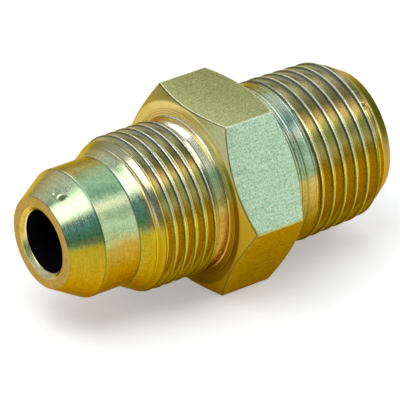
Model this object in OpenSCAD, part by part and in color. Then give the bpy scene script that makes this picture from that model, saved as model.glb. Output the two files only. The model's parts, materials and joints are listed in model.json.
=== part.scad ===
// Flare fitting: a straight male adapter turned from hexagon bar, with a conical flare seat
// and a straight thread at one end, a wrench hexagon in the middle and a taper pipe thread
// at the other end, drilled through.
// The real fitting is one piece of metal. Here it is divided, at its own shoulders, into
// the sections that a turner would name. They meet face to face and share one bore.
// The axis lies along X, nose first, and +Z is square to a wrench flat.

/* [Bore and nose] */
// Diameter of the through bore
bore_d = 8; // [5:0.1:10]
// Radial width of the countersink at each mouth of the bore
mouth_width = 0.6; // [0.2:0.05:1.2]
// Depth of the countersink at each mouth of the bore
mouth_depth = 0.6; // [0.1:0.05:1]
// Width of the flat ring around the mouth at the nose
nose_land = 1.3; // [0.3:0.05:1.5]
// Angle between the flare seat and the axis
seat_angle = 30; // [25:0.5:45]

/* [Neck] */
// Length of the plain neck between the seat and the shoulder
neck_len = 5.05; // [2:0.05:12]
// Radial step from the neck up to the root of the flare thread
neck_step = 0.85; // [0.3:0.05:1.5]
// Angle between the shoulder at the start of the thread and the axis
shoulder_angle = 30; // [25:1:60]

/* [Flare thread] */
// Major diameter of the flare thread
flare_d = 20; // [16:0.1:26]
// Pitch of the flare thread
flare_pitch = 1.5; // [1:0.05:2]
// Length of the flare thread
flare_len = 9.2; // [6:0.1:20]
// Length of the plain land between the flare thread and the hexagon
land_len = 1.6; // [0.5:0.05:4]

/* [Hexagon] */
// Size across the flats of the hexagon
hex_af = 24; // [20:0.1:32]
// Width of the hexagon along the axis
hex_len = 9.5; // [5:0.1:20]
// Distance from each flat in to the round face of the hexagon
hex_face_inset = 0.3; // [0.1:0.05:1]
// Angle between the chamfer of the hexagon and its end face
hex_chamfer_angle = 30; // [15:1:40]

/* [Pipe thread] */
// Major diameter of the pipe thread at its gauge plane
pipe_gauge_d = 20.955; // [17:0.005:26]
// Distance from the end of the fitting to the gauge plane
pipe_gauge_len = 8.2; // [5:0.1:12]
// Threads per inch of the pipe thread
pipe_tpi = 14; // [11:1:19]
// Length over which the pipe thread's diameter grows by one
pipe_taper = 16; // [14:1:20]
// Length of the pipe thread, with its chamfered end
pipe_len = 12.8; // [9:0.1:20]
// Length of the chamfer at the end of the pipe thread
end_chamfer_len = 3.3; // [0.5:0.1:4]
// Angle between the chamfer at the end of the pipe thread and the axis
end_chamfer_angle = 30; // [15:1:35]
// Length of the plain collar between the hexagon and the pipe thread
collar_len = 3.7; // [1:0.1:8]

/* [Hidden] */

// Number of sides that stand for a true circle, and of straight steps in a turn of a thread
$fn = 96;
turn_steps = 48;
// Share of a step by which a thread's points are turned past the axes, so that no plane through
// the fitting's axis at a round angle runs along a row of its edges
step_offset = 0.5;

// Widths along the axis of a thread's crest and root flats, as shares of its pitch
crest_share = 1 / 6;
root_share = 1 / 6;
// Depth of each thread form as a share of its pitch: metric 60 degrees, and 55 degree pipe
metric_depth_share = 0.6134;
pipe_depth_share = 0.6403;
// Share of the flare thread's depth by which the land lies under its crests
land_share = 0.5;
// Share of the pipe thread's depth by which the collar lies under its crests
collar_share = 0.22;
// Least height of a tooth where a thread starts and ends, and its least gap from the end face
tooth_min = 0.05;
thread_gap = 0.1;
// Length that a cut runs past the solid it goes through
past = 1;
mm_per_inch = 25.4;

bore_r = bore_d / 2;
mouth_r = bore_r + mouth_width;
nose_r = mouth_r + nose_land;

flare_r = flare_d / 2;
flare_depth = flare_pitch * metric_depth_share;
flare_root_r = flare_r - flare_depth;
neck_r = flare_root_r - neck_step;
land_r = flare_r - flare_depth * land_share;

seat_len = (neck_r - nose_r) / tan(seat_angle);
shoulder_len = neck_step / tan(shoulder_angle);

// Stations along the axis, from the nose
neck_x = seat_len;
flare_x = neck_x + neck_len + shoulder_len;
land_x = flare_x + flare_len;
hex_x = land_x + land_len;
collar_x = hex_x + hex_len;
pipe_x = collar_x + collar_len;
overall_len = pipe_x + pipe_len;
chamfer_x = overall_len - end_chamfer_len;

hex_corner_r = hex_af / 2 / cos(30);
hex_face_r = hex_af / 2 - hex_face_inset;

pipe_pitch = mm_per_inch / pipe_tpi;
pipe_depth = pipe_pitch * pipe_depth_share;

// Crest radius of the pipe thread at a distance x from the nose
function pipe_crest_r(x) = pipe_gauge_d / 2 + (overall_len - pipe_gauge_len - x) / pipe_taper / 2;
collar_r = pipe_crest_r(pipe_x) - pipe_depth * collar_share;

// Radius of the chamfer that cuts across the last turns of the pipe thread
function pipe_chamfer_r(x) = pipe_crest_r(chamfer_x) - (x - chamfer_x) * tan(end_chamfer_angle);

// Radii of the flare thread's root and crest at a distance x from the nose. The crest rises
// from the shoulder, and the root runs out into the land.
function flare_root_at(x) = max(flare_root_r, land_r - (land_x - x));
function flare_crest_at(x) =
    min(flare_r, flare_root_r + tooth_min + (x - flare_x) * tan(shoulder_angle));

// The same for the pipe thread. The root runs out into the collar, and the crest follows the
// chamfer at the end.
function pipe_root_at(x) = max(
    min(pipe_crest_r(x) - pipe_depth, pipe_chamfer_r(x) - tooth_min),
    collar_r - (x - pipe_x) / 2
);
function pipe_crest_at(x) = min(pipe_crest_r(x), pipe_chamfer_r(x));

color_zinc = [0.72, 0.60, 0.30];
color_pale_zinc = [0.66, 0.70, 0.50];

// A right-hand thread as one closed spiral surface from x0 to x1. root_at and crest_at give
// its radii at a distance from the nose. Four rows of points follow the helix, two at the
// root and two at the crest, and a plain ring closes each end.
module thread(x0, x1, pitch, root_at, crest_at) {
    flank = pitch * (1 - crest_share - root_share) / 2;
    crest = pitch * crest_share;
    offsets = [0, flank, flank + crest, 2 * flank + crest];
    turn = turn_steps;
    angle_step = 360 / turn;
    step_x = pitch / turn;
    room = x1 - x0 - offsets[3];
    steps = floor((room - 2 * thread_gap) / step_x);
    first_x = x0 + (room - steps * step_x) / 2;
    function radius_at(row, x) = (row == 0 || row == 3) ? root_at(x) : crest_at(x);
    function turned_to(i) = (i + step_offset) * angle_step;
    function at(x, r, i) = [r * cos(turned_to(i)), r * sin(turned_to(i)), x];
    function row_x(i, row) = first_x + offsets[row] + i * step_x;
    spiral = [for (i = [0:steps], row = [0:3]) at(row_x(i, row), radius_at(row, row_x(i, row)), i)];
    first_ring = [for (i = [0:turn - 1]) at(x0, root_at(x0), i)];
    last_ring = [for (i = [0:turn - 1]) at(x1, root_at(x1), steps - turn + i)];
    function p(i, row) = 4 * i + row;
    function q(i) = 4 * (steps + 1) + i % turn;
    function r(i) = 4 * (steps + 1) + turn + i % turn;
    function quad(a, b, c, d) = [[a, d, c], [a, c, b]];
    function joined(lists) = [for (list = lists) for (item = list) item];
    teeth = joined([for (i = [0:steps - 1], row = [0:2])
        quad(p(i, row), p(i + 1, row), p(i + 1, row + 1), p(i, row + 1))]);
    roots = joined([for (i = [0:steps - turn - 1])
        quad(p(i, 3), p(i + 1, 3), p(i + 1 + turn, 0), p(i + turn, 0))]);
    lead_in = joined([for (i = [0:turn - 2]) quad(q(i), q(i + 1), p(i + 1, 0), p(i, 0))]);
    lead_out = joined([for (i = [1:turn - 1])
        quad(p(steps - turn + i, 3), p(steps - turn + i + 1, 3), r(i + 1), r(i))]);
    start = q(turn - 1);
    start_fan = [
        [start, p(0, 0), q(0)], [start, p(0, 3), p(0, 0)], [start, p(turn, 0), p(0, 3)],
        [start, p(turn - 1, 0), p(turn, 0)]
    ];
    end = r(1);
    last = steps - turn;
    end_fan = [
        [end, p(steps, 3), r(0)], [end, p(steps, 0), p(steps, 3)], [end, p(last, 3), p(steps, 0)],
        [end, p(last + 1, 3), p(last, 3)]
    ];
    tooth_ends = concat(
        quad(p(0, 0), p(0, 1), p(0, 2), p(0, 3)),
        quad(p(steps, 3), p(steps, 2), p(steps, 1), p(steps, 0))
    );
    caps = [[for (i = [0:turn - 1]) q(i)], [for (i = [turn - 1:-1:0]) r(i)]];
    faces = concat(teeth, roots, lead_in, lead_out, start_fan, end_fan, tooth_ends, caps);
    polyhedron(points = concat(spiral, first_ring, last_ring), faces = faces);
}

// A turned solid from an outline of [radius, distance from the nose] points
module turned(outline) {
    rotate_extrude() polygon(outline);
}

// Takes the through bore and its two countersunk mouths out of a section
module bored() {
    difference() {
        children();
        translate([0, 0, -past]) cylinder(r = bore_r, h = overall_len + 2 * past);
        mouth();
        translate([0, 0, overall_len]) mirror([0, 0, 1]) mouth();
    }
}

// The cutter for one mouth: a cone that opens outwards, carried on past the face
module mouth() {
    slope = mouth_width / mouth_depth;
    turned([
        [0, -past], [mouth_r + past * slope, -past], [bore_r, mouth_depth], [0, mouth_depth]
    ]);
}

// Lays a section along X, with the middle of the whole fitting at the origin
module placed() {
    translate([-overall_len / 2, 0, 0]) rotate([0, 90, 0]) bored() children();
}

module flare_seat() {
    color(color_zinc) placed()
        turned([[0, 0], [nose_r, 0], [neck_r, neck_x], [0, neck_x]]);
}

module nose_neck() {
    color(color_pale_zinc) placed() turned([
        [0, neck_x], [neck_r, neck_x], [neck_r, neck_x + neck_len], [flare_root_r, flare_x],
        [0, flare_x]
    ]);
}

module flare_thread() {
    color(color_zinc) placed()
        thread(flare_x, land_x, flare_pitch, function(x) flare_root_at(x), function(x) flare_crest_at(x));
}

module thread_land() {
    color(color_zinc) placed()
        turned([[0, land_x], [land_r, land_x], [land_r, hex_x], [0, hex_x]]);
}

// A hexagon prism inside a double cone that chamfers its corners at both end faces
module wrench_hex() {
    chamfer_reach = (hex_corner_r - hex_face_r) * tan(hex_chamfer_angle);
    color(color_pale_zinc) placed() intersection() {
        translate([0, 0, hex_x]) rotate([0, 0, 30]) cylinder(r = hex_corner_r, h = hex_len, $fn = 6);
        turned([
            [0, hex_x], [hex_face_r, hex_x], [hex_corner_r, hex_x + chamfer_reach],
            [hex_corner_r, collar_x - chamfer_reach], [hex_face_r, collar_x], [0, collar_x]
        ]);
    }
}

module pipe_collar() {
    color(color_zinc) placed()
        turned([[0, collar_x], [collar_r, collar_x], [collar_r, pipe_x], [0, pipe_x]]);
}

module pipe_thread() {
    color(color_zinc) placed()
        thread(pipe_x, overall_len, pipe_pitch, function(x) pipe_root_at(x), function(x) pipe_crest_at(x));
}

flare_seat();
nose_neck();
flare_thread();
thread_land();
wrench_hex();
pipe_collar();
pipe_thread();
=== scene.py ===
import json
import math

import bpy
import numpy as np
from mathutils import Matrix, Vector


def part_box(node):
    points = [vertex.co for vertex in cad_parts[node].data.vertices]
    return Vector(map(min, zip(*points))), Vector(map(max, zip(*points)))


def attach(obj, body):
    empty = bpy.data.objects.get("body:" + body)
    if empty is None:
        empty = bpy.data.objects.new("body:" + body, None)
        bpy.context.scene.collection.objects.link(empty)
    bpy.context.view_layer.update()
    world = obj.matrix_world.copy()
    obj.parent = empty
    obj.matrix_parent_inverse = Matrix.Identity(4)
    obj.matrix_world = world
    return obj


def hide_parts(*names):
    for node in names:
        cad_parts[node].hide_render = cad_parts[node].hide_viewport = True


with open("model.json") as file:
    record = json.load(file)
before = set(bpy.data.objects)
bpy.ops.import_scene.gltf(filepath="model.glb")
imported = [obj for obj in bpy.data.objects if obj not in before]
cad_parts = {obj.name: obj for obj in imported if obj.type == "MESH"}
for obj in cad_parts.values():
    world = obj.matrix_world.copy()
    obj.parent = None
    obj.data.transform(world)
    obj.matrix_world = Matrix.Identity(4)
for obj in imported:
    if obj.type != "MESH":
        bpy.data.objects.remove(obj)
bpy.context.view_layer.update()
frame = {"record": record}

MM = 0.001

# Stations along the axis and radii about it, in millimetres, from the CAD nodes' boxes


def low_x(node):
    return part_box(node)[0].x / MM


def high_x(node):
    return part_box(node)[1].x / MM


def radius_of(node):
    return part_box(node)[1].z / MM


def mount(name):
    return next(m for m in frame["record"]["mounts"] if m["name"] == name)


NOSE_X = low_x("flare_seat")
NECK_X = low_x("nose_neck")
FLARE_X = low_x("flare_thread")
LAND_X = low_x("thread_land")
HEX_X = low_x("wrench_hex")
COLLAR_X = low_x("pipe_collar")
PIPE_X = low_x("pipe_thread")
END_X = high_x("pipe_thread")

BORE_R = mount("through_bore")["dims"]["r_mm"]
NECK_R = radius_of("flare_seat")
FLARE_ROOT_R = radius_of("nose_neck")
FLARE_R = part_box("flare_thread")[1].y / MM
LAND_R = radius_of("thread_land")
HEX_FLAT_R = radius_of("wrench_hex")
COLLAR_R = radius_of("pipe_collar")

# Form sizes that the boxes don't hold
SEAT_SLOPE = math.tan(math.radians(30))
SHOULDER_SLOPE = math.tan(math.radians(30))
MOUTH_WIDTH = 0.6
MOUTH_DEPTH = 0.6
FLARE_PITCH = 1.5
HEX_FACE_R = HEX_FLAT_R - 0.3
HEX_CHAMFER_SLOPE = math.tan(math.radians(30))
PIPE_PITCH = 25.4 / 14
PIPE_GAUGE_R = 20.955 / 2
PIPE_GAUGE_X = END_X - 8.2
PIPE_TAPER = 1 / 32
PIPE_DEPTH = PIPE_PITCH * 0.6403
END_CHAMFER_X = END_X - 3.3
END_CHAMFER_SLOPE = math.tan(math.radians(30))

NOSE_R = NECK_R - (NECK_X - NOSE_X) * SEAT_SLOPE
NECK_END_X = FLARE_X - (FLARE_ROOT_R - NECK_R) / SHOULDER_SLOPE

# Where sections meet a little back from an edge, so that the edge itself is rounded
SEAM = 0.35
# Distance from the nose to the first crest of each thread, at the top of the fitting
FLARE_CREST_X = 11.31
PIPE_CREST_X = 36.55
HEX_CORNER_FILLET = 0.3
# Shares of the pitch that a thread's flat crest and flat root take up
CREST_SHARE = 0.14
ROOT_SHARE = 0.2
# How much brighter the floor looks to the camera, and to the metal, than it is lit
FLOOR_GLOW = 0.34
FLOOR_SHEEN = 0.30

# Small dents and burrs: distance along the axis, angle about it from +Z towards the side
# that faces -Y, half width, and how far the surface moves (inwards is negative)
NICKS = {
    "flare_seat": [
        (1.75, 15, 0.24, -0.3), (2.1, 19, 0.2, 0.12), (1.5, 6, 0.14, -0.12), (3.4, 110, 0.15, -0.15),
    ],
    "flare_thread": [(14.9, 14, 0.24, 0.22), (16.2, 22, 0.14, -0.12)],
    "pipe_thread": [
        (41.0, 3, 0.24, -0.35), (44.8, 25, 0.26, -0.35), (45.1, 38, 0.24, -0.35), (40.9, 17, 0.2, -0.25),
        (43.0, 9, 0.2, -0.25),
    ],
}

# Steps about the axis, and rows of points along each pitch of a thread
SEGMENTS = 288
ROWS_PER_PITCH = 26


# ---- meshes ----


def rounded(corners, default=0.1):
    """A polyline of (x, r) or (x, r, fillet) corners with each inner corner rounded by a curve."""
    out = [corners[0][:2]]
    for before, here, after in zip(corners, corners[1:], corners[2:]):
        fillet = here[2] if len(here) > 2 else default
        p = Vector(here[:2])
        to_before = Vector(before[:2]) - p
        to_after = Vector(after[:2]) - p
        reach = min(fillet, to_before.length * 0.45, to_after.length * 0.45)
        a = p + to_before.normalized() * reach
        b = p + to_after.normalized() * reach
        for t in (0, 0.25, 0.5, 0.75, 1):
            q = a * (1 - t) ** 2 + p * 2 * t * (1 - t) + b * t**2
            out.append((q.x, q.y))
    out.append(corners[-1][:2])
    return out


def divided(outline, step):
    """The same outline with long stretches divided, so that dents have vertices to move."""
    out = [outline[0]]
    for a, b in zip(outline, outline[1:]):
        length = math.hypot(b[0] - a[0], b[1] - a[1])
        parts = max(1, round(length / step))
        for i in range(1, parts + 1):
            out.append((a[0] + (b[0] - a[0]) * i / parts, a[1] + (b[1] - a[1]) * i / parts))
    return out


def nick(name, x, angle, r):
    """The radius at a point once the section's dents and burrs have moved it."""
    for along, around, half_width, move in NICKS.get(name, []):
        dx = x - (NOSE_X + along)
        dy = (angle - math.radians(around)) * r
        reach = (dx * dx + dy * dy) / half_width**2
        r = r + move * np.exp(-reach) * (reach < 6)
    return r


def mesh_object(name, verts, faces, sharp_degrees=35):
    mesh = bpy.data.meshes.new(name)
    mesh.from_pydata([tuple(v) for v in verts], [], [tuple(f) for f in faces])
    mesh.validate()
    mesh.shade_smooth()
    mesh.set_sharp_from_angle(angle=math.radians(sharp_degrees))
    obj = bpy.data.objects.new(name, mesh)
    bpy.context.scene.collection.objects.link(obj)
    return obj


def angles():
    return np.arange(SEGMENTS) * 2 * math.pi / SEGMENTS


def place(x, r, angle):
    """Points from millimetres along the axis, radius, and angle from +Z towards -Y."""
    return np.stack([x, -r * np.sin(angle), r * np.cos(angle)], -1) * MM


def lathe(name, outline):
    """A closed turned ring from an outer outline of (x, r) points. The bore closes it."""
    loop = list(outline) + [(outline[-1][0], BORE_R), (outline[0][0], BORE_R)]
    around = angles()
    x = np.array([p[0] for p in loop])[:, None] + 0 * around
    r = np.array([p[1] for p in loop])[:, None] + 0 * around
    outer = np.arange(len(loop))[:, None] < len(outline)
    r = np.where(outer, nick(name, x, around[None, :], r), r)
    return grid_object(name, place(x, r, around[None, :]))


def grid_object(name, points):
    """A mesh from a grid of points that closes on itself both ways."""
    rows, columns = points.shape[:2]
    faces = []
    for i in range(rows):
        for j in range(columns):
            below, right = (i + 1) % rows, (j + 1) % columns
            near, far = i * columns, below * columns
            faces.append((near + j, far + j, far + right, near + right))
    return mesh_object(name, points.reshape(-1, 3), faces)


def soft_clamp(v, low, high, soft):
    """v held between low and high, with both bends rounded over a width of soft."""
    v = np.where(v < low + soft, low + soft - soft * (1 - np.exp((v - low - soft) / soft)), v)
    return np.where(v > high - soft, high - soft * np.exp((high - soft - v) / soft), v)


def tooth(phase):
    """Depth below the crest, from 0 to 1, at a phase along the pitch. The crest is at 0."""
    from_crest = np.abs((phase + 0.5) % 1 - 0.5)
    flank = 0.5 - (CREST_SHARE + ROOT_SHARE) / 2
    return soft_clamp((from_crest - CREST_SHARE / 2) / flank, 0, 1, 0.04)


def spiral(name, x0, x1, pitch, radius, ends):
    """A closed thread whose rows of points follow the right-hand helix. radius(x, angle) gives
    its surface. Rows past either end are drawn in to the end ring and welded there. ends are
    the (x, r) rings that carry on from the end face, through the bore, to the start."""
    turn = angles() / (2 * math.pi)
    first = x0 - pitch
    rows = math.ceil((x1 - first) / pitch * ROWS_PER_PITCH) + 1
    row_x = first + (np.arange(rows)[:, None] / ROWS_PER_PITCH + turn[None, :]) * pitch
    x = np.clip(row_x, x0, x1)
    around = angles()[None, :] + 0 * x
    r = nick(name, x, around, radius(x, around))
    x = np.vstack([x] + [np.full((1, SEGMENTS), e[0]) for e in ends])
    r = np.vstack([r] + [np.full((1, SEGMENTS), e[1]) for e in ends])
    points = place(x, r, np.broadcast_to(around[:1], x.shape))
    total = rows + len(ends)
    faces = []
    for i in range(total):
        below = (i + 1) % total
        for j in range(SEGMENTS):
            right, here_right, below_right = j + 1, i, below
            if right == SEGMENTS:
                right = 0
                here_right = i if i >= rows else min(i + ROWS_PER_PITCH, rows - 1)
                on_end = below == 0 or below >= rows
                below_right = below if on_end else min(below + ROWS_PER_PITCH, rows - 1)
            ring = (i * SEGMENTS + j, below * SEGMENTS + j, below_right * SEGMENTS + right,
                    here_right * SEGMENTS + right)
            faces.append(ring)
    return welded_object(name, points.reshape(-1, 3), faces)


def welded_object(name, verts, faces, sharp_degrees=40):
    """A mesh whose coincident points become one. Faces that this closes up are left out."""
    keys = np.round(np.asarray(verts) / (1e-4 * MM)).astype(np.int64)
    unique, index = np.unique(keys, axis=0, return_inverse=True)
    index = index.ravel()
    first = np.zeros(len(unique), np.int64)
    first[index[::-1]] = np.arange(len(verts))[::-1]
    clean = []
    for face in faces:
        ring = [int(index[v]) for v in face]
        ring = [v for v, before in zip(ring, ring[-1:] + ring[:-1]) if v != before]
        if len(set(ring)) >= 3:
            clean.append(ring)
    return mesh_object(name, np.asarray(verts)[first], clean, sharp_degrees)


# ---- the sections ----


def flare_seat():
    return lathe("flare_seat", divided(rounded([
        (NOSE_X + MOUTH_DEPTH + 0.6, BORE_R),
        (NOSE_X + MOUTH_DEPTH, BORE_R, 0.1),
        (NOSE_X, BORE_R + MOUTH_WIDTH, 0.1),
        (NOSE_X, NOSE_R, 0.12),
        (NECK_X - SEAM, NECK_R - SEAM * SEAT_SLOPE),
    ]), 0.12))


def nose_neck():
    shoulder_top = FLARE_ROOT_R - SEAM * SHOULDER_SLOPE
    return lathe("nose_neck", divided(rounded([
        (NECK_X - SEAM, NECK_R - SEAM * SEAT_SLOPE),
        (NECK_X, NECK_R, 0.12),
        (NECK_END_X, NECK_R, 0.08),
        (FLARE_X - SEAM, shoulder_top),
    ]), 0.2))


def flare_surface(x, around):
    phase = (x - NOSE_X - FLARE_CREST_X) / FLARE_PITCH - around / (2 * math.pi)
    r = FLARE_R - (FLARE_R - FLARE_ROOT_R) * tooth(phase)
    shoulder = FLARE_ROOT_R + (x - FLARE_X) * SHOULDER_SLOPE
    run_out = LAND_R + (LAND_X - x) * 1.3
    root = LAND_R - (LAND_X - x) * 0.7
    return np.maximum(np.minimum(np.minimum(r, shoulder), run_out), np.minimum(root, run_out))


def pipe_crest_r(x):
    return PIPE_GAUGE_R + (PIPE_GAUGE_X - x) * PIPE_TAPER


def pipe_surface(x, around):
    phase = (x - NOSE_X - PIPE_CREST_X) / PIPE_PITCH - around / (2 * math.pi)
    crest = pipe_crest_r(x)
    r = crest - PIPE_DEPTH * tooth(phase)
    chamfer = pipe_crest_r(END_CHAMFER_X) - (x - END_CHAMFER_X) * END_CHAMFER_SLOPE
    root = COLLAR_R - (x - PIPE_X) * 1.2
    collar = COLLAR_R + (x - PIPE_X) * 1.2
    return np.maximum(np.minimum(np.minimum(r, chamfer), collar), np.minimum(root, chamfer))


def flare_thread():
    start = FLARE_X - SEAM
    ends = [(LAND_X, BORE_R), (start, BORE_R)]
    return spiral("flare_thread", start, LAND_X, FLARE_PITCH, flare_surface, ends)


def pipe_thread():
    """The pipe thread, whose end face has a countersunk mouth like the one at the nose."""
    ends = [(END_X, BORE_R + MOUTH_WIDTH), (END_X - MOUTH_DEPTH, BORE_R), (PIPE_X, BORE_R)]
    return spiral("pipe_thread", PIPE_X, END_X, PIPE_PITCH, pipe_surface, ends)


def thread_land():
    return lathe("thread_land", divided(rounded([
        (LAND_X, LAND_R), (HEX_X - 0.15, LAND_R + 0.26, 0.05), (HEX_X, LAND_R + 0.4),
    ]), 0.2))


def pipe_collar():
    """The collar keeps the fine lines that the turning tool left next to the hexagon."""
    corners = [(COLLAR_X, COLLAR_R - 0.12)]
    for i in range(4):
        x = COLLAR_X + 0.75 + 0.42 * i
        corners += [(x, COLLAR_R, 0.05), (x + 0.1, COLLAR_R - 0.08, 0.05), (x + 0.2, COLLAR_R, 0.05)]
    corners += [(PIPE_X - 0.35, COLLAR_R, 0.04), (PIPE_X - 0.25, COLLAR_R - 0.06, 0.04)]
    corners += [(PIPE_X - 0.15, COLLAR_R, 0.04), (PIPE_X, COLLAR_R)]
    return lathe("pipe_collar", divided(rounded(corners), 0.2))


def hex_angles():
    """Angles about the axis, close together where the corners of the hexagon are rounded."""
    sector = math.pi / 3
    half = sector / 2
    near = half - HEX_CORNER_FILLET / HEX_FLAT_R * 0.75
    flat = np.linspace(-near, near, 15)
    corner = np.linspace(near, sector - near, 9)[1:-1]
    one = np.concatenate([flat, corner])
    return np.concatenate([one + i * sector for i in range(6)])


def hex_radius(around):
    """Distance from the axis to the rounded hexagon, at an angle from +Z."""
    sector = math.pi / 3
    off = np.abs((around + sector / 2) % sector - sector / 2)
    flat = HEX_FLAT_R / np.cos(off)
    centre = (HEX_FLAT_R - HEX_CORNER_FILLET) / math.cos(sector / 2)
    from_corner = sector / 2 - off
    across = centre * np.sin(from_corner)
    fillet = centre * np.cos(from_corner) + np.sqrt(np.maximum(HEX_CORNER_FILLET**2 - across**2, 0))
    on_fillet = off > math.atan((HEX_FLAT_R - HEX_CORNER_FILLET) * math.tan(sector / 2) / HEX_FLAT_R)
    return np.where(on_fillet, np.minimum(flat, fillet), flat)


def wrench_hex():
    """Each angle has its own outline: round face, 30 degree chamfer, flat, chamfer, face."""
    around = hex_angles()
    columns = []
    for a in around:
        r = float(hex_radius(a))
        depth = (r - HEX_FACE_R) * HEX_CHAMFER_SLOPE
        front = [(HEX_X, LAND_R - 0.5), (HEX_X, LAND_R + 0.42, 0.05)]
        for i in range(3):
            r0 = LAND_R + 0.5 + 0.28 * i
            front += [(HEX_X - 0.03, r0, 0.05), (HEX_X + 0.05, r0 + 0.12, 0.05)]
        front += [(HEX_X, LAND_R + 1.35, 0.05), (HEX_X, HEX_FACE_R, 0.1), (HEX_X + depth, r, 0.12)]
        back = [(COLLAR_X - depth, r, 0.12), (COLLAR_X, HEX_FACE_R, 0.1), (COLLAR_X, BORE_R)]
        outline = rounded(front + back)
        columns.append(outline + [(HEX_X, BORE_R)])
    loop = np.array(columns).transpose(1, 0, 2)
    x, r = loop[..., 0], loop[..., 1]
    return grid_object("wrench_hex", place(x, r, np.broadcast_to(around[None, :], x.shape)))


# ---- materials ----


class Nodes:
    """A short way to write a node tree."""

    def __init__(self, tree):
        self.tree = tree

    def add(self, kind, **settings):
        node = self.tree.nodes.new(kind)
        for key, value in settings.items():
            setattr(node, key, value)
        return node

    def feed(self, socket, value):
        if isinstance(value, bpy.types.NodeSocket):
            self.tree.links.new(value, socket)
        elif value is not None:
            socket.default_value = value

    def math(self, operation, *values):
        node = self.add("ShaderNodeMath", operation=operation)
        for socket, value in zip(node.inputs, values):
            self.feed(socket, value)
        return node.outputs[0]

    def vector(self, x, y, z):
        node = self.add("ShaderNodeCombineXYZ")
        for socket, value in zip(node.inputs, (x, y, z)):
            self.feed(socket, value)
        return node.outputs[0]

    def noise(self, vector, scale, detail=2.0, roughness=0.5):
        node = self.add("ShaderNodeTexNoise")
        self.feed(node.inputs["Vector"], vector)
        node.inputs["Scale"].default_value = scale
        node.inputs["Detail"].default_value = detail
        node.inputs["Roughness"].default_value = roughness
        return node.outputs["Fac"]

    def ramp(self, factor, stops):
        node = self.add("ShaderNodeValToRGB")
        elements = node.color_ramp.elements
        while len(elements) < len(stops):
            elements.new(0.5)
        for element, (position, colour) in zip(elements, stops):
            element.position = position
            element.color = (*colour, 1)
        self.feed(node.inputs["Fac"], factor)
        return node.outputs["Color"]

    def spread(self, value, low, high, to_low=0.0, to_high=1.0):
        node = self.add("ShaderNodeMapRange")
        for socket, v in zip(node.inputs, (value, low, high, to_low, to_high)):
            self.feed(socket, v)
        return node.outputs[0]

    def mix(self, factor, a, b, blend="MIX"):
        node = self.add("ShaderNodeMix", data_type="RGBA", blend_type=blend)
        self.feed(node.inputs["Factor"], factor)
        self.feed(node.inputs[6], a)
        self.feed(node.inputs[7], b)
        return node.outputs[2]


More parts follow.
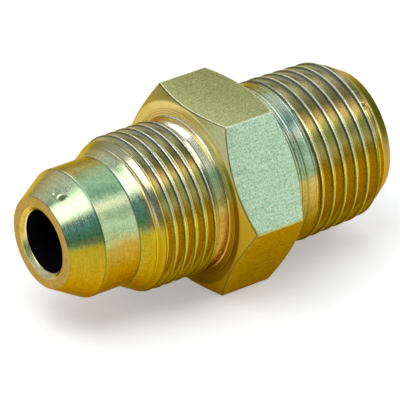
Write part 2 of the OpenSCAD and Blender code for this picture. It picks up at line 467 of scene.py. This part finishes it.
class Plating:
    """The node tree of one yellow chromate finish. It holds the values that finishes share:
    the point in millimetres, its radius and angle about the axis, and the noises."""

    def __init__(self, name, grain, marks):
        self.material = bpy.data.materials.new(name)
        self.material.use_nodes = True
        self.material.node_tree.nodes.clear()
        n = self.n = Nodes(self.material.node_tree)
        coords = n.add("ShaderNodeTexCoord")
        split = n.add("ShaderNodeSeparateXYZ")
        n.feed(split.inputs[0], coords.outputs["Object"])
        self.x, y, z = self.point = [n.math("DIVIDE", split.outputs[i], MM) for i in range(3)]
        self.in_mm = n.vector(self.x, y, z)
        squares = n.math("ADD", n.math("MULTIPLY", y, y), n.math("MULTIPLY", z, z))
        self.radius = n.math("SQRT", squares)
        self.angle = n.math("ARCTAN2", n.math("MULTIPLY", y, -1.0), z)
        normal = n.add("ShaderNodeSeparateXYZ")
        n.feed(normal.inputs[0], coords.outputs["Normal"])
        self.facing = normal.outputs[0]
        # turning marks run round the axis, so they change along X and with the radius
        along, across = (n.math("MULTIPLY", v, marks) for v in (self.x, self.radius))
        self.lines = n.noise(n.vector(along, across, n.math("MULTIPLY", self.angle, 0.8)), 1.0, 2, 0.6)
        self.speckle = n.noise(self.in_mm, grain, 3, 0.75)
        self.fine = n.noise(self.in_mm, grain * 3.1, 2, 0.7)
        self.pits = n.spread(n.noise(self.in_mm, grain * 0.75, 2, 0.5), 0.27, 0.2)
        self.wander = n.math("SUBTRACT", n.noise(self.in_mm, 0.25, 3), 0.5)

    def across(self, scale):
        """The two coordinates square to the axis, scaled."""
        return [self.n.math("MULTIPLY", v, scale) for v in self.point[1:]]

    def around(self, hues, drift=0.05):
        """A colour by the angle from the top. drift lets the borders between hues wander."""
        n = self.n
        turn = n.math("DIVIDE", self.angle, 2 * math.pi)
        turn = n.math("ADD", n.math("ADD", turn, 0.5), n.math("MULTIPLY", self.wander, drift))
        return n.ramp(turn, [((a + 180) / 360, c) for a, c in hues])

    def finish(self, colour, roughness, mottle, line_strength, tint_strength=0.7):
        n = self.n
        shade = n.math(
            "MULTIPLY", n.spread(self.speckle, 0.3, 0.7, 1 - mottle, 1 + mottle),
            n.spread(self.lines, 0.25, 0.75, 1 - line_strength * 0.5, 1 + line_strength * 0.5),
        )
        colour = n.mix(1.0, colour, shade, "MULTIPLY")
        tint = n.mix(n.spread(self.fine, 0.35, 0.65), (0.8, 1.0, 1.0, 1), (1.1, 1.0, 0.85, 1))
        colour = n.mix(tint_strength, colour, tint, "MULTIPLY")
        colour = n.mix(n.math("MULTIPLY", self.pits, 0.6), colour, (0.10, 0.07, 0.02, 1))
        # The bore is painted near black: painted shade inside the bore. It is also rougher there.
        inside = n.spread(self.radius, BORE_R + 0.03, BORE_R + 0.01)
        rim = n.math("MULTIPLY", n.spread(self.radius, BORE_R + 0.16, BORE_R + 0.1), 0.8)
        colour = n.mix(rim, colour, (0.9, 0.78, 0.5, 1))
        colour = n.mix(inside, colour, (0.012, 0.012, 0.018, 1))

        shader = n.add("ShaderNodeBsdfPrincipled")
        shader.inputs["Metallic"].default_value = 1.0
        shader.inputs["Specular Tint"].default_value = EDGE_TINT
        n.feed(shader.inputs["Base Color"], colour)
        both = n.math("ADD", self.lines, self.speckle)
        rough = n.spread(both, 0.7, 1.3, roughness - 0.06, roughness + 0.08)
        n.feed(shader.inputs["Roughness"], n.math("ADD", rough, n.math("MULTIPLY", inside, 0.4)))
        height = n.math("ADD", n.math("MULTIPLY", self.lines, line_strength),
                        n.math("MULTIPLY", self.speckle, mottle))
        bump = n.add("ShaderNodeBump")
        bump.inputs["Distance"].default_value = 0.02 * MM
        bump.inputs["Strength"].default_value = 1.0
        n.feed(bump.inputs["Height"], height)
        n.feed(shader.inputs["Normal"], bump.outputs[0])
        n.feed(n.add("ShaderNodeOutputMaterial").inputs["Surface"], shader.outputs[0])
        return self.material


def seat_zinc():
    """The seat, and the flat face and countersink at the nose, which are tan and gold."""
    plating = Plating("seat_zinc", 2.6, 9.0)
    n = plating.n
    # SEAT_HUES paint reflections by angle: a painted highlight and dark bands on the seat
    colour = plating.around(SEAT_HUES)
    face = n.spread(plating.x, NOSE_X + 0.12, NOSE_X + 0.04)
    colour = n.mix(face, colour, FACE_COLOUR)
    mouth = n.spread(plating.radius, BORE_R + MOUTH_WIDTH + 0.04, BORE_R + MOUTH_WIDTH - 0.04)
    # The countersink takes MOUTH_HUES: painted highlights and painted reflections by angle
    colour = n.mix(mouth, colour, plating.around(MOUTH_HUES))
    return plating.finish(colour, 0.24, 0.16, 0.35)


def turned_zinc(name, hues, cone_hues, roughness=0.26, borders=()):
    """A turned section. hues and cone_hues hold the plating's hues and painted reflections by
    angle; where it is a cone that faces the nose it takes cone_hues. borders are fine rings
    (x, half width, hues, strength) where the surface changes direction: dark rings of painted
    shade in corners and grooves, and pale rings that are partly wear and partly painted highlight."""
    plating = Plating(name, 2.6, 9.0)
    n = plating.n
    cone = n.spread(plating.facing, -0.2, -0.4)
    colour = n.mix(cone, plating.around(hues), plating.around(cone_hues))
    broken = n.spread(plating.speckle, 0.3, 0.5, 0.35, 1.0)
    # Rings of painted shade and painted highlight along corners, grooves and edges
    for x, half_width, ring_hues, strength in borders:
        off = n.math("ABSOLUTE", n.math("SUBTRACT", plating.x, x))
        ring = n.math("MULTIPLY", n.spread(off, half_width + 0.04, half_width), broken)
        colour = n.mix(n.math("MULTIPLY", ring, strength), colour, plating.around(ring_hues))
    return plating.finish(colour, roughness, 0.22, 0.35)


def thread_zinc(name, crest_r, slope, depth, chamfer_x=None):
    """A thread. crest_r and slope give the crest's radius at a distance x from the origin. The
    crests are paler, partly wear and partly painted highlight; below them runs a dark line of
    painted shade, and the grooves are warm."""
    plating = Plating(name, 2.6, 7.0)
    n = plating.n
    crest = n.math("ADD", n.math("MULTIPLY", plating.x, slope), crest_r)
    below = n.math("DIVIDE", n.math("SUBTRACT", plating.radius, crest), depth)
    ragged = n.math("MULTIPLY", n.math("SUBTRACT", plating.speckle, 0.5), 0.10)
    height = n.math("ADD", n.math("ADD", below, 1.0), ragged)
    # THREAD_HUES paint bright gold and dark bands by angle: painted reflections
    colour = plating.around(THREAD_HUES)
    # light goes back and forth in a groove, which would turn its gold too red
    deep = n.spread(height, 0.7, 0.1)
    colour = n.mix(deep, colour, n.mix(1.0, colour, (1.05, 1.18, 1.0, 1), "MULTIPLY"))
    # Flanks that face the nose take other hues: painted reflections of the dark front of the room on
    # that side
    to_nose = n.spread(plating.facing, -0.3, -0.55)
    colour = n.mix(to_nose, colour, plating.around(FLANK_HUES))
    # A dark line just below each crest: painted shade
    shade_below_crest = n.math("MULTIPLY", n.spread(height, 0.70, 0.80), n.spread(height, 0.985, 0.95))
    colour = n.mix(n.math("MULTIPLY", shade_below_crest, 0.8), colour, plating.around(PAINTED_SHADE_HUES))
    # Crests turn pale: partly wear and partly painted highlight
    wear_and_highlight = n.spread(height, 0.965, 0.995)
    colour = n.mix(n.math("MULTIPLY", wear_and_highlight, 0.9), colour, plating.around(WEAR_AND_HIGHLIGHT_HUES))
    if chamfer_x:
        # The end chamfer takes CHAMFER_HUES: painted reflections, light and dark bands by angle
        on_chamfer = n.spread(plating.x, chamfer_x + 1.5, chamfer_x + 1.9)
        colour = n.mix(on_chamfer, colour, plating.around(CHAMFER_HUES))
    return plating.finish(colour, 0.25, 0.08, 0.24, 0.35)


def bar_zinc():
    """The hexagon: grainy flats, each painted with its own reflection, and turned faces whose
    edges carry pale lines, partly wear and partly painted highlight.
    """
    plating = Plating("bar_zinc", 4.6, 2.0)
    n = plating.n
    grain = n.math("MULTIPLY", n.spread(plating.speckle, 0.32, 0.68, 0.62, 1.38),
                   n.spread(plating.fine, 0.3, 0.7, 0.72, 1.28))
    # BAR_HUES give each flat a painted reflection: mint on the front, olive on top, deep gold below
    flats = n.mix(1.0, plating.around(BAR_HUES, 0.0), grain, "MULTIPLY")
    streaks = n.noise(n.vector(n.math("MULTIPLY", plating.x, 0.3), *plating.across(3.5)), 1.0, 3, 0.7)
    flats = n.mix(1.0, flats, n.spread(streaks, 0.3, 0.7, 0.84, 1.16), "MULTIPLY")
    dark_specks = n.spread(plating.fine, 0.38, 0.30)
    flats = n.mix(n.math("MULTIPLY", dark_specks, 0.6), flats, (0.05, 0.13, 0.10, 1))
    # Pale lines along the rounded corners: partly wear and partly painted highlight
    off_flat = n.math("PINGPONG", plating.angle, math.pi / 6)
    corner = n.spread(off_flat, math.pi / 6 - 0.014, math.pi / 6 - 0.006)
    flats = n.mix(n.math("MULTIPLY", corner, 0.5), flats, plating.around(WEAR_AND_HIGHLIGHT_HUES))

    out = n.math("MAXIMUM", n.math("SUBTRACT", plating.radius, HEX_FACE_R), 0.0)
    reach = n.math("MULTIPLY", out, HEX_CHAMFER_SLOPE)
    from_front = n.math("SUBTRACT", n.math("SUBTRACT", plating.x, HEX_X), reach)
    from_back = n.math("SUBTRACT", n.math("SUBTRACT", COLLAR_X, plating.x), reach)
    inset = n.math("MINIMUM", from_front, from_back)
    # Pale broken lines on the flats beside the chamfers: partly wear and partly painted highlight
    broken = n.spread(plating.speckle, 0.34, 0.46)
    edge = n.math("MULTIPLY", n.spread(inset, 0.21, 0.15), broken)
    flats = n.mix(n.math("MULTIPLY", edge, 0.85), flats, plating.around(WEAR_AND_HIGHLIGHT_HUES))
    # The turned faces and chamfers take hues by angle: painted highlights and painted reflections
    on_face = n.spread(inset, 0.07, 0.03)
    colour = n.mix(on_face, flats, plating.around(HEX_FACE_HUES))
    cut = n.math("MULTIPLY", n.spread(out, 0.05, 0.3), on_face)
    colour = n.mix(cut, colour, plating.around(HEX_CHAMFER_HUES))
    out_of_axis = n.math("MULTIPLY", plating.radius, n.math("COSINE", off_flat))
    to_flat = n.math("SUBTRACT", HEX_FLAT_R, out_of_axis)
    shadow_line = n.math("MULTIPLY", n.spread(to_flat, 0.16, 0.1), cut)
    colour = n.mix(n.math("MULTIPLY", shadow_line, 0.7), colour, (0.06, 0.07, 0.03, 1))
    return plating.finish(colour, 0.4, 0.10, 0.12, 0.5)


# Hues are (degrees about the axis, from the top towards the side that faces -Y; base colour of
# the metal there). They hold the plating's own hues and also painted reflections, painted
# highlights and painted shade: light and dark bands where lamps, walls and floor are reflected,
# and darker gold undersides. These are painted in the base colour, so they stay where they are
# on the metal when it turns or the light changes.

EDGE_TINT = (0.80, 0.56, 0.12, 1)
FACE_COLOUR = (0.45, 0.285, 0.10, 1)
SEAT_HUES = [
    (-180, (0.42, 0.20, 0.006)), (-90, (0.46, 0.29, 0.05)), (-25, (0.64, 0.56, 0.28)),
    (-8, (0.80, 0.78, 0.46)), (6, (0.66, 0.80, 0.54)), (18, (0.25, 0.33, 0.20)),
    (28, (0.42, 0.50, 0.33)), (42, (0.44, 0.52, 0.36)), (52, (0.30, 0.80, 0.60)),
    (64, (0.22, 0.54, 0.25)), (76, (0.44, 0.32, 0.02)), (105, (0.52, 0.30, 0.01)),
    (130, (0.52, 0.27, 0.01)), (180, (0.44, 0.21, 0.006)),
]
MOUTH_HUES = [
    (-180, (0.90, 0.80, 0.52)), (-150, (0.95, 0.98, 0.55)), (-120, (0.80, 0.80, 0.26)),
    (-95, (0.62, 0.40, 0.05)), (-60, (0.75, 0.46, 0.07)), (-20, (1.0, 0.80, 0.25)),
    (60, (0.6, 0.45, 0.12)), (180, (0.90, 0.80, 0.52)),
]
NECK_HUES = [
    (-180, (0.36, 0.18, 0.004)), (-90, (0.42, 0.28, 0.04)), (-20, (0.44, 0.36, 0.17)),
    (0, (0.31, 0.30, 0.13)), (12, (0.42, 0.60, 0.36)), (22, (0.44, 0.72, 0.45)),
    (31, (0.26, 0.48, 0.30)), (40, (0.44, 0.46, 0.30)), (50, (0.46, 0.60, 0.34)),
    (60, (0.68, 0.92, 0.53)), (69, (0.62, 0.78, 0.40)), (80, (0.52, 0.34, 0.05)),
    (100, (0.48, 0.26, 0.008)), (180, (0.36, 0.18, 0.003)),
]
THREAD_HUES = [
    (-180, (0.40, 0.18, 0.003)), (-90, (0.42, 0.27, 0.04)), (-25, (0.54, 0.46, 0.22)),
    (0, (0.52, 0.46, 0.34)), (14, (0.50, 0.45, 0.30)), (24, (0.32, 0.29, 0.17)),
    (38, (1.0, 0.66, 0.30)), (50, (0.72, 0.52, 0.22)), (60, (0.98, 0.70, 0.36)),
    (70, (0.62, 0.40, 0.06)), (80, (0.66, 0.43, 0.006)), (110, (0.66, 0.42, 0.005)),
    (135, (0.56, 0.33, 0.004)), (180, (0.40, 0.19, 0.003)),
]
FLANK_HUES = [
    (-180, (0.40, 0.19, 0.003)), (-90, (0.42, 0.29, 0.05)), (-20, (0.50, 0.46, 0.26)),
    (0, (0.60, 0.58, 0.44)), (18, (0.52, 0.50, 0.36)), (32, (0.66, 0.60, 0.40)),
    (48, (0.32, 0.44, 0.32)), (60, (0.50, 0.58, 0.34)), (72, (0.48, 0.34, 0.03)),
    (84, (0.46, 0.29, 0.008)), (110, (0.48, 0.28, 0.005)), (180, (0.38, 0.19, 0.003)),
]
# Pale lines on crests, corners and edges: partly wear and partly painted highlight
WEAR_AND_HIGHLIGHT_HUES = [
    (-180, (0.40, 0.28, 0.03)), (-70, (0.60, 0.46, 0.15)), (-20, (0.88, 0.88, 0.76)),
    (50, (0.92, 0.94, 0.82)), (66, (0.80, 0.82, 0.42)), (82, (0.50, 0.48, 0.10)),
    (120, (0.40, 0.32, 0.04)), (180, (0.40, 0.28, 0.03)),
]
# Painted shade: dark lines below crests and in corners and grooves
PAINTED_SHADE_HUES = [
    (-180, (0.10, 0.08, 0.01)), (-70, (0.16, 0.13, 0.06)), (0, (0.08, 0.13, 0.10)),
    (55, (0.05, 0.12, 0.09)), (75, (0.12, 0.14, 0.02)), (120, (0.14, 0.11, 0.01)),
    (180, (0.10, 0.08, 0.01)),
]
COLLAR_HUES = [
    (-180, (0.36, 0.18, 0.004)), (-90, (0.42, 0.30, 0.06)), (-15, (0.36, 0.36, 0.17)),
    (2, (0.36, 0.40, 0.22)), (12, (0.58, 0.72, 0.58)), (21, (0.38, 0.50, 0.42)),
    (31, (0.13, 0.25, 0.22)), (42, (0.32, 0.34, 0.28)), (50, (0.32, 0.50, 0.36)),
    (61, (0.50, 0.72, 0.50)), (71, (0.38, 0.52, 0.25)), (80, (0.60, 0.42, 0.10)),
    (90, (0.52, 0.34, 0.06)), (108, (0.34, 0.20, 0.02)), (180, (0.34, 0.18, 0.005)),
]
LAND_HUES = [
    (-180, (0.40, 0.20, 0.005)), (-70, (0.50, 0.36, 0.10)), (-24, (0.60, 0.55, 0.34)),
    (-12, (1.0, 1.0, 0.96)), (12, (1.0, 0.98, 0.94)), (30, (0.84, 0.84, 0.68)),
    (40, (0.95, 0.95, 0.72)), (50, (0.40, 0.62, 0.38)), (62, (0.62, 0.66, 0.32)),
    (70, (0.60, 0.50, 0.13)), (80, (0.50, 0.26, 0.04)), (108, (0.66, 0.36, 0.05)),
    (124, (1.0, 0.60, 0.10)), (145, (0.55, 0.25, 0.01)), (180, (0.40, 0.20, 0.005)),
]
CHAMFER_HUES = [
    (-180, (0.36, 0.18, 0.01)), (-90, (0.50, 0.42, 0.20)), (-55, (0.78, 0.74, 0.60)),
    (-30, (0.66, 0.68, 0.48)), (-14, (0.60, 0.58, 0.46)), (2, (0.36, 0.35, 0.30)),
    (16, (0.17, 0.20, 0.12)), (28, (0.10, 0.16, 0.08)), (45, (0.07, 0.12, 0.045)),
    (60, (0.09, 0.12, 0.05)), (74, (0.38, 0.28, 0.14)), (90, (0.52, 0.34, 0.22)),
    (120, (0.46, 0.30, 0.08)), (180, (0.36, 0.18, 0.01)),
]
BAR_HUES = [
    (-180, (0.40, 0.22, 0.003)), (-150.5, (0.40, 0.22, 0.003)), (-149.5, (0.44, 0.28, 0.02)),
    (-90.5, (0.44, 0.28, 0.02)), (-89.5, (0.48, 0.44, 0.16)), (-30.5, (0.48, 0.44, 0.16)),
    (-29.8, (0.33, 0.36, 0.18)), (29.8, (0.42, 0.47, 0.25)), (30.2, (0.62, 0.92, 0.64)),
    (89.8, (0.66, 0.97, 0.66)), (90.2, (0.48, 0.28, 0.006)), (149.5, (0.44, 0.26, 0.006)),
    (150.5, (0.40, 0.22, 0.003)), (180, (0.40, 0.22, 0.003)),
]
HEX_FACE_HUES = [
    (-180, (0.40, 0.22, 0.01)), (-90, (0.55, 0.38, 0.10)), (-45, (0.72, 0.53, 0.18)),
    (-20, (0.85, 0.64, 0.26)), (4, (1.0, 0.80, 0.30)), (22, (1.0, 0.95, 0.48)),
    (42, (1.0, 0.92, 0.40)), (58, (0.66, 0.60, 0.14)), (76, (0.52, 0.32, 0.006)),
    (120, (0.40, 0.22, 0.01)), (160, (0.20, 0.11, 0.01)), (180, (0.40, 0.22, 0.01)),
]
HEX_CHAMFER_HUES = [
    (-180, (0.40, 0.22, 0.01)), (-60, (0.50, 0.36, 0.10)), (-32, (0.42, 0.34, 0.11)),
    (-15, (0.42, 0.38, 0.13)), (12, (0.56, 0.50, 0.19)), (26, (0.82, 0.86, 0.44)),
    (38, (0.98, 0.92, 0.50)), (56, (0.72, 0.56, 0.18)), (80, (0.52, 0.32, 0.02)),
    (180, (0.40, 0.22, 0.01)),
]


# ---- studio ----


def softbox(name, at, width, height, power, turn=0.0):
    """A rectangular lamp that faces the fitting, turned about its own axis."""
    data = bpy.data.lights.new(name, "AREA")
    data.shape = "RECTANGLE"
    data.size, data.size_y = width, height
    data.energy = power
    lamp = bpy.data.objects.new(name, data)
    facing = (-Vector(at)).to_track_quat("-Z", "Y").to_matrix().to_4x4()
    lamp.matrix_world = Matrix.Translation(at) @ facing @ Matrix.Rotation(math.radians(turn), 4, "Z")
    bpy.context.scene.collection.objects.link(lamp)


def floor():
    """A white floor. Rays from the camera and from glossy metal see it a little brighter than
    it is lit, so that it is white away from the fitting's shadow."""
    size = 4.0
    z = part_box("wrench_hex")[0].z
    corners = [(-size, -size, z), (size, -size, z), (size, size, z), (-size, size, z)]
    obj = mesh_object("floor", corners, [(0, 1, 2, 3)])
    material = bpy.data.materials.new("floor")
    material.use_nodes = True
    material.node_tree.nodes.clear()
    n = Nodes(material.node_tree)
    diffuse = n.add("ShaderNodeBsdfDiffuse")
    diffuse.inputs["Color"].default_value = (0.95, 0.97, 0.98, 1)
    path = n.add("ShaderNodeLightPath")
    to_camera = n.math("MULTIPLY", path.outputs["Is Camera Ray"], FLOOR_GLOW)
    to_metal = n.math("MULTIPLY", path.outputs["Is Glossy Ray"], FLOOR_SHEEN)
    glow = n.add("ShaderNodeEmission")
    glow.inputs["Color"].default_value = (0.96, 1.0, 1.035, 1)
    n.feed(glow.inputs["Strength"], n.math("ADD", to_camera, to_metal))
    both = n.add("ShaderNodeAddShader")
    n.feed(both.inputs[0], diffuse.outputs[0])
    n.feed(both.inputs[1], glow.outputs[0])
    n.feed(n.add("ShaderNodeOutputMaterial").inputs["Surface"], both.outputs[0])
    obj.data.materials.append(material)


def studio_walls():
    """A grey room, white to the camera: dark at the front left, paler behind and on the right."""
    world = bpy.data.worlds.new("studio")
    bpy.context.scene.world = world
    world.use_nodes = True
    world.node_tree.nodes.clear()
    n = Nodes(world.node_tree)
    split = n.add("ShaderNodeSeparateXYZ")
    n.feed(split.inputs[0], n.add("ShaderNodeTexCoord").outputs["Generated"])
    x, y = split.outputs[0], split.outputs[1]
    back = n.spread(y, -0.3, 0.4, 0.0, 0.35)
    right = n.spread(x, -0.2, 0.5, 0.0, 0.6)
    strength = n.math("ADD", n.math("MAXIMUM", back, right), 0.24)
    background = n.add("ShaderNodeBackground")
    path = n.add("ShaderNodeLightPath")
    n.feed(background.inputs["Strength"], n.math("MAXIMUM", strength, path.outputs["Is Camera Ray"]))
    n.feed(n.add("ShaderNodeOutputWorld").inputs["Surface"], background.outputs[0])


def studio():
    floor()
    studio_walls()
    softbox("overhead", (-0.25, -0.05, 0.6), 0.5, 0.4, 1.8)
    softbox("right", (0.42, -0.31, 0.6), 0.35, 0.16, 0.36)
    softbox("back", (0.27, 0.56, 0.64), 0.16, 0.7, 0.7)


def camera():
    """The camera looks at the middle of the fitting from its nose end and from above."""
    azimuth, elevation, roll = (math.radians(v) for v in (-36.68, 30.34, 0.89))
    distance = 611.94 * MM
    aim_right, aim_up = 0.241 * MM, -1.616 * MM
    level_forward = Vector((-math.sin(azimuth), math.cos(azimuth), 0))
    forward = level_forward * math.cos(elevation) - Vector((0, 0, math.sin(elevation)))
    level = Vector((math.cos(azimuth), math.sin(azimuth), 0))
    up = level.cross(forward)
    right = level * math.cos(roll) + up * math.sin(roll)
    top = right.cross(forward)
    data = bpy.data.cameras.new("camera")
    data.sensor_width = 36
    data.lens = 444.1
    data.clip_start = 0.01
    obj = bpy.data.objects.new("camera", data)
    at = right * aim_right + top * aim_up - forward * distance
    basis = Matrix((right, top, -forward)).transposed().to_4x4()
    obj.matrix_world = Matrix.Translation(at) @ basis
    bpy.context.scene.collection.objects.link(obj)
    bpy.context.scene.camera = obj


PIPE_CREST_AT_0 = PIPE_GAUGE_R + PIPE_GAUGE_X * PIPE_TAPER
materials = {
    "flare_seat": seat_zinc(),
    # In the borders below, the dark rings are painted shade lines, mostly in corners and grooves, and
    # the pale rings are partly wear and partly painted highlight.
    "nose_neck": turned_zinc("neck_zinc", NECK_HUES, SEAT_HUES, borders=[
        (NECK_X - 0.1, 0.06, PAINTED_SHADE_HUES, 0.6), (NECK_X + 0.1, 0.06, WEAR_AND_HIGHLIGHT_HUES, 0.4),
        (NECK_END_X - 0.06, 0.09, PAINTED_SHADE_HUES, 0.75), (NECK_END_X + 0.14, 0.05, WEAR_AND_HIGHLIGHT_HUES, 0.4),
    ]),
    "flare_thread": thread_zinc("flare_thread_zinc", FLARE_R, 0.0, FLARE_R - FLARE_ROOT_R),
    "thread_land": turned_zinc("land_zinc", LAND_HUES, LAND_HUES, 0.22, borders=[
        (LAND_X + 0.14, 0.05, PAINTED_SHADE_HUES, 0.6), (LAND_X + 0.9, 0.03, PAINTED_SHADE_HUES, 0.4),
        (HEX_X - 0.2, 0.05, PAINTED_SHADE_HUES, 0.5),
    ]),
    "wrench_hex": bar_zinc(),
    "pipe_collar": turned_zinc("collar_zinc", COLLAR_HUES, COLLAR_HUES, borders=[
        (COLLAR_X + 0.12, 0.1, PAINTED_SHADE_HUES, 0.7), (COLLAR_X + 0.5, 0.05, WEAR_AND_HIGHLIGHT_HUES, 0.6),
        (COLLAR_X + 0.86, 0.07, PAINTED_SHADE_HUES, 0.6), (COLLAR_X + 1.28, 0.05, PAINTED_SHADE_HUES, 0.5),
        (COLLAR_X + 1.72, 0.05, WEAR_AND_HIGHLIGHT_HUES, 0.5), (COLLAR_X + 2.2, 0.05, PAINTED_SHADE_HUES, 0.5),
        (PIPE_X - 0.5, 0.04, WEAR_AND_HIGHLIGHT_HUES, 0.5),
    ]),
    "pipe_thread": thread_zinc(
        "pipe_thread_zinc", PIPE_CREST_AT_0, -PIPE_TAPER, PIPE_DEPTH, END_CHAMFER_X,
    ),
}
makers = (flare_seat, nose_neck, flare_thread, thread_land, wrench_hex, pipe_collar, pipe_thread)
for make in makers:
    node = make.__name__
    piece = make()
    piece.name = node + "_metal"
    piece.data.materials.append(materials[node])
    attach(piece, "root")
    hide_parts(node)

studio()
camera()
bpy.context.scene.view_settings.view_transform = "Standard"
